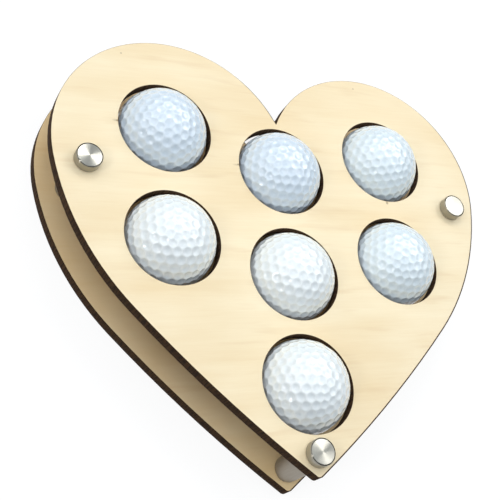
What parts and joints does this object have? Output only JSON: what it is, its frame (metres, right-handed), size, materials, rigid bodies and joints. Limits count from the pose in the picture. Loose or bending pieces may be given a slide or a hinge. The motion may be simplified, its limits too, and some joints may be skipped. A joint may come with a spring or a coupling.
{
  "type": "golf ball display",
  "caption": "Heart-shaped plywood display: golf balls lie in round holes of the front panel, which metal standoffs hold in front of a plain back panel.",
  "frame": {"origin": "on the back face of the rear panel, straight behind the middle ball", "axes": "+Z out of the front face, +Y up the middle of the heart, +X to the right seen from the front"},
  "size_m": [0.2232, 0.2051, 0.0486],
  "materials": {
    "plywood": "bare, laser-cut",
    "ball_cover": "gloss",
    "cap_steel": "spun",
    "barrel_steel": "satin",
    "thread_steel": "bright",
    "washer_plastic": "clear"
  },
  "bodies": {
    "stand": {"front_panel": "plywood", "back_panel": "plywood", "standoff_barrel_left": "barrel_steel", "barrel_washer_left": "washer_plastic", "back_screw_left": "thread_steel", "standoff_barrel_right": "barrel_steel", "barrel_washer_right": "washer_plastic", "back_screw_right": "thread_steel", "standoff_barrel_bottom": "barrel_steel", "barrel_washer_bottom": "washer_plastic", "back_screw_bottom": "thread_steel"},
    "ball_top_left": {"golf_ball_top_left": "ball_cover"},
    "ball_top_right": {"golf_ball_top_right": "ball_cover"},
    "ball_mid_left": {"golf_ball_mid_left": "ball_cover"},
    "ball_mid_right": {"golf_ball_mid_right": "ball_cover"},
    "ball_upper_centre": {"golf_ball_upper_centre": "ball_cover"},
    "ball_mid_centre": {"golf_ball_mid_centre": "ball_cover"},
    "ball_bottom": {"golf_ball_bottom": "ball_cover"},
    "washer_left": {"cap_washer_left": "washer_plastic"},
    "cap_left": {"standoff_cap_left": "cap_steel", "cap_stud_left": "thread_steel"},
    "washer_right": {"cap_washer_right": "washer_plastic"},
    "cap_right": {"standoff_cap_right": "cap_steel", "cap_stud_right": "thread_steel"},
    "washer_bottom": {"cap_washer_bottom": "washer_plastic"},
    "cap_bottom": {"standoff_cap_bottom": "cap_steel", "cap_stud_bottom": "thread_steel"}
  },
  "joints": [
    {"name": "ball_top_left_lift", "type": "slide", "parent": "stand", "child": "ball_top_left", "axis": [0, 0, 1], "range_m": [0, 0.045]},
    {"name": "ball_top_right_lift", "type": "slide", "parent": "stand", "child": "ball_top_right", "axis": [0, 0, 1], "range_m": [0, 0.045]},
    {"name": "ball_mid_left_lift", "type": "slide", "parent": "stand", "child": "ball_mid_left", "axis": [0, 0, 1], "range_m": [0, 0.045]},
    {"name": "ball_mid_right_lift", "type": "slide", "parent": "stand", "child": "ball_mid_right", "axis": [0, 0, 1], "range_m": [0, 0.045]},
    {"name": "ball_upper_centre_lift", "type": "slide", "parent": "stand", "child": "ball_upper_centre", "axis": [0, 0, 1], "range_m": [0, 0.045]},
    {"name": "ball_mid_centre_lift", "type": "slide", "parent": "stand", "child": "ball_mid_centre", "axis": [0, 0, 1], "range_m": [0, 0.045]},
    {"name": "ball_bottom_lift", "type": "slide", "parent": "stand", "child": "ball_bottom", "axis": [0, 0, 1], "range_m": [0, 0.045]},
    {"name": "cap_left_rise", "type": "slide", "parent": "stand", "child": "washer_left", "axis": [0, 0, 1], "range_m": [0, 0.008]},
    {"name": "cap_left_turn", "type": "hinge", "parent": "washer_left", "child": "cap_left", "pos_m": [-0.09623, 0.04405, 0.0344], "axis": [0, 0, 1], "range_deg": [0, 2880]},
    {"name": "cap_right_rise", "type": "slide", "parent": "stand", "child": "washer_right", "axis": [0, 0, 1], "range_m": [0, 0.008]},
    {"name": "cap_right_turn", "type": "hinge", "parent": "washer_right", "child": "cap_right", "pos_m": [0.09623, 0.04405, 0.0344], "axis": [0, 0, 1], "range_deg": [0, 2880]},
    {"name": "cap_bottom_rise", "type": "slide", "parent": "stand", "child": "washer_bottom", "axis": [0, 0, 1], "range_m": [0, 0.008]},
    {"name": "cap_bottom_turn", "type": "hinge", "parent": "washer_bottom", "child": "cap_bottom", "pos_m": [0, -0.08249, 0.0344], "axis": [0, 0, 1], "range_deg": [0, 2880]}
  ],
  "couplings": [
    {"joint": "cap_left_rise", "follows": "cap_left_turn", "m_per_rad": 0.00015915},
    {"joint": "cap_right_rise", "follows": "cap_right_turn", "m_per_rad": 0.00015915},
    {"joint": "cap_bottom_rise", "follows": "cap_bottom_turn", "m_per_rad": 0.00015915}
  ]
}
